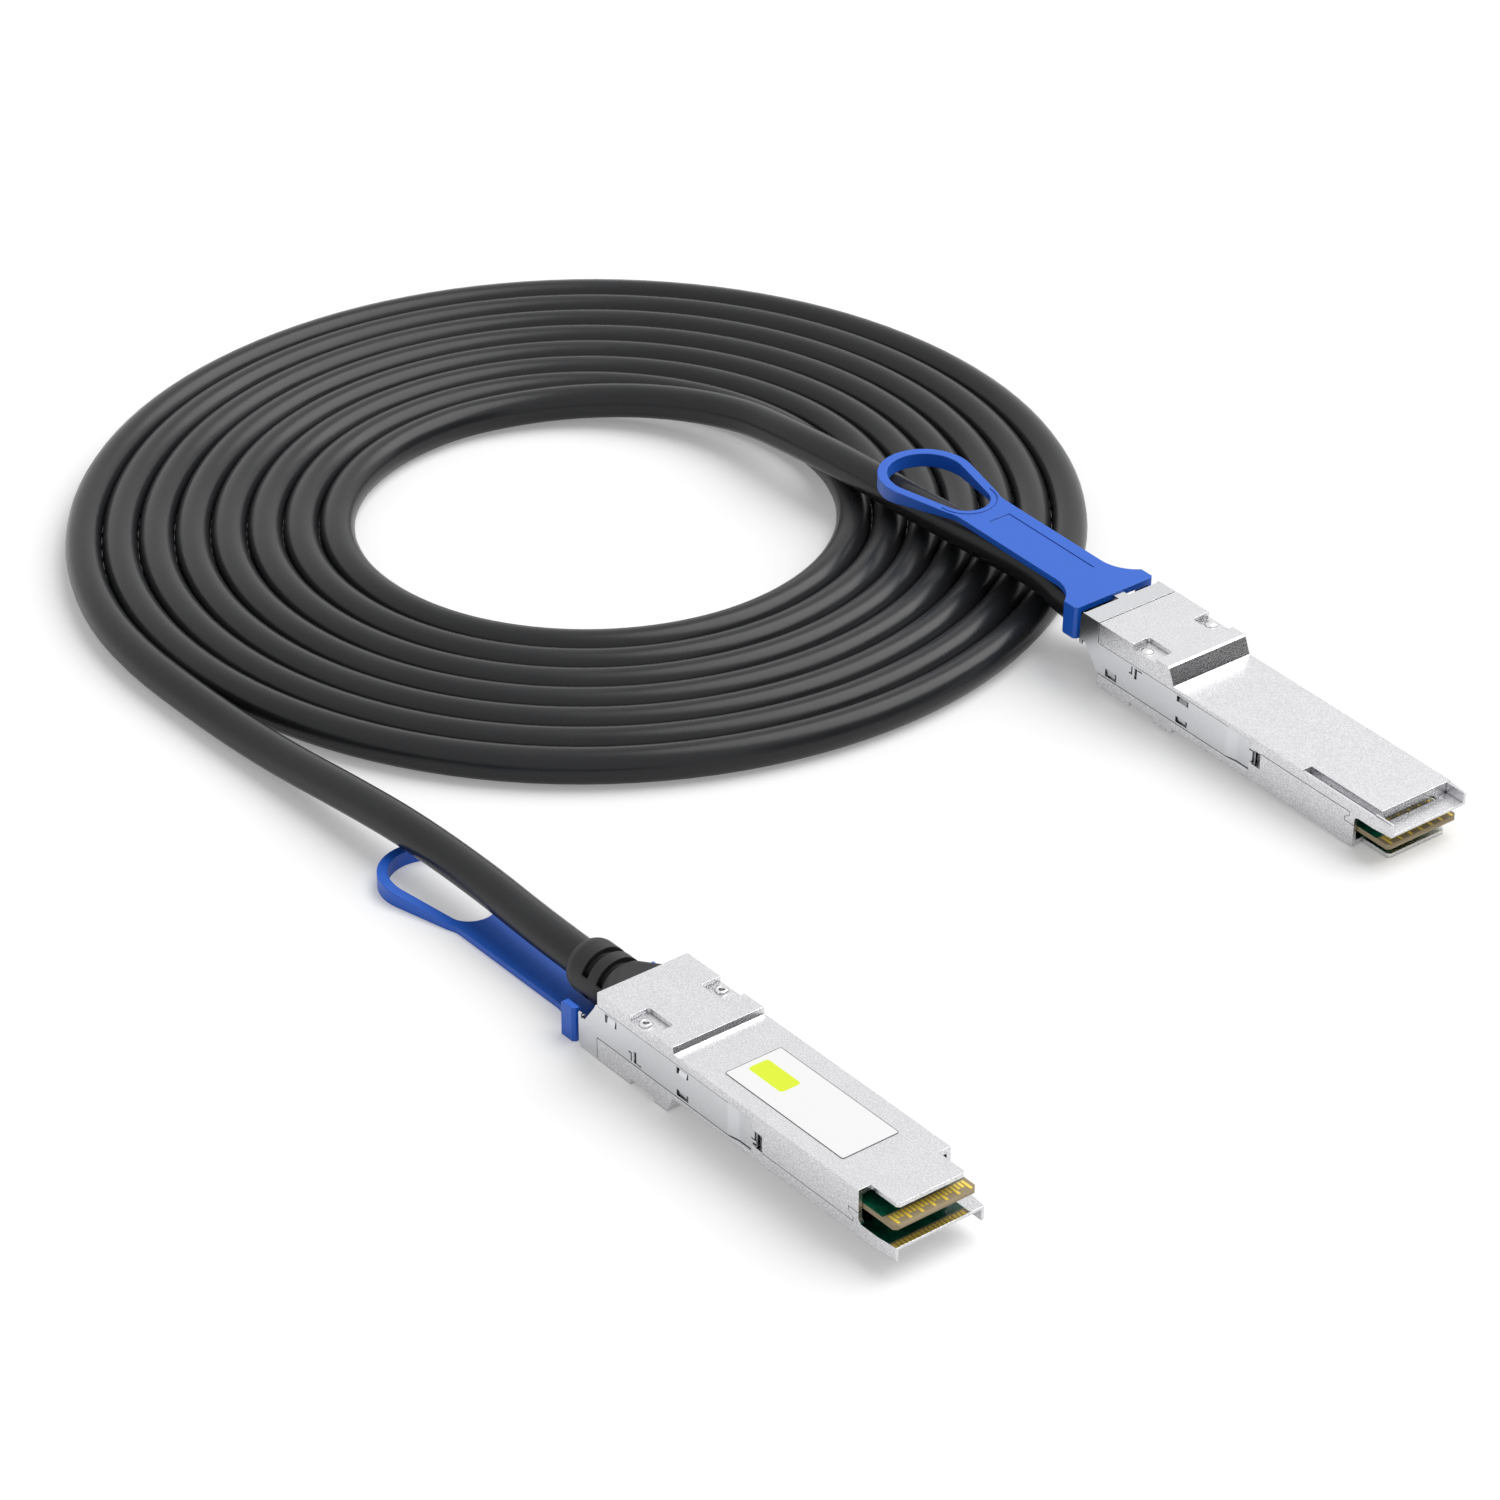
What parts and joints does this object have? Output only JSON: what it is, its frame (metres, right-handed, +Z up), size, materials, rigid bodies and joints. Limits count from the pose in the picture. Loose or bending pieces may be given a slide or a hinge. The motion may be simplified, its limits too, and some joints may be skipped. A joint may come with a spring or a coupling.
{
  "type": "direct attach copper cable",
  "caption": "Black direct attach copper cable in a flat spiral, with a silver pluggable module and a blue pull tab on each end.",
  "frame": {"origin": "on the floor, under the middle of the box round the modules, their pull tabs left in", "axes": "+X along the modules towards their contact edges, +Y from module a to module b, +Z up"},
  "size_m": [0.3126, 0.199, 0.0169],
  "materials": {
    "die_cast": "bright fine-grained nickel plated die casting",
    "stamped_steel": "smooth bright stamped stainless sheet",
    "blue_tab": "satin moulded blue plastic",
    "card_green": "green masked circuit card with a bare pale edge",
    "gold_pads": "gold plated",
    "chip_black": "moulded chip package",
    "rivet_steel": "plated steel",
    "boot_black": "soft moulded black boot",
    "ferrule_metal": "plated crimp ring",
    "pair_wrap": "foil wrapped pairs",
    "spring_steel": "spring steel wire",
    "cable_jacket": "smooth black jacket with a soft sheen"
  },
  "bodies": {
    "cable_and_modules": {"cable_coil": "cable_jacket", "cable_lead_a": "cable_jacket", "cable_lead_b": "cable_jacket", "label_cover_a": "die_cast", "heat_sink_shell_a": "die_cast", "paddle_card_a": "card_green", "contact_pads_a": "gold_pads", "memory_chip_a": "chip_black", "rivets_a": "rivet_steel", "strain_relief_a": "boot_black", "crimp_ferrule_a": "ferrule_metal", "conductor_pairs_a": "pair_wrap", "return_springs_a": "spring_steel", "label_cover_b": "die_cast", "heat_sink_shell_b": "die_cast", "paddle_card_b": "card_green", "contact_pads_b": "gold_pads", "memory_chip_b": "chip_black", "rivets_b": "rivet_steel", "strain_relief_b": "boot_black", "crimp_ferrule_b": "ferrule_metal", "conductor_pairs_b": "pair_wrap", "return_springs_b": "spring_steel"},
    "release_a": {"latch_slider_a": "stamped_steel", "pull_tab_a": "blue_tab"},
    "release_b": {"latch_slider_b": "stamped_steel", "pull_tab_b": "blue_tab"}
  },
  "joints": [
    {"name": "release_a", "type": "slide", "parent": "cable_and_modules", "child": "release_a", "axis": [-1, 0, 0], "range_m": [0, 0.0025], "stiffness_N_per_m": 500, "springref_m": -0.002, "deforming": ["return_springs_a"]},
    {"name": "release_b", "type": "slide", "parent": "cable_and_modules", "child": "release_b", "axis": [-0.9994, 0, 0.0349], "range_m": [0, 0.0025], "stiffness_N_per_m": 500, "springref_m": -0.002, "deforming": ["return_springs_b"]}
  ]
}
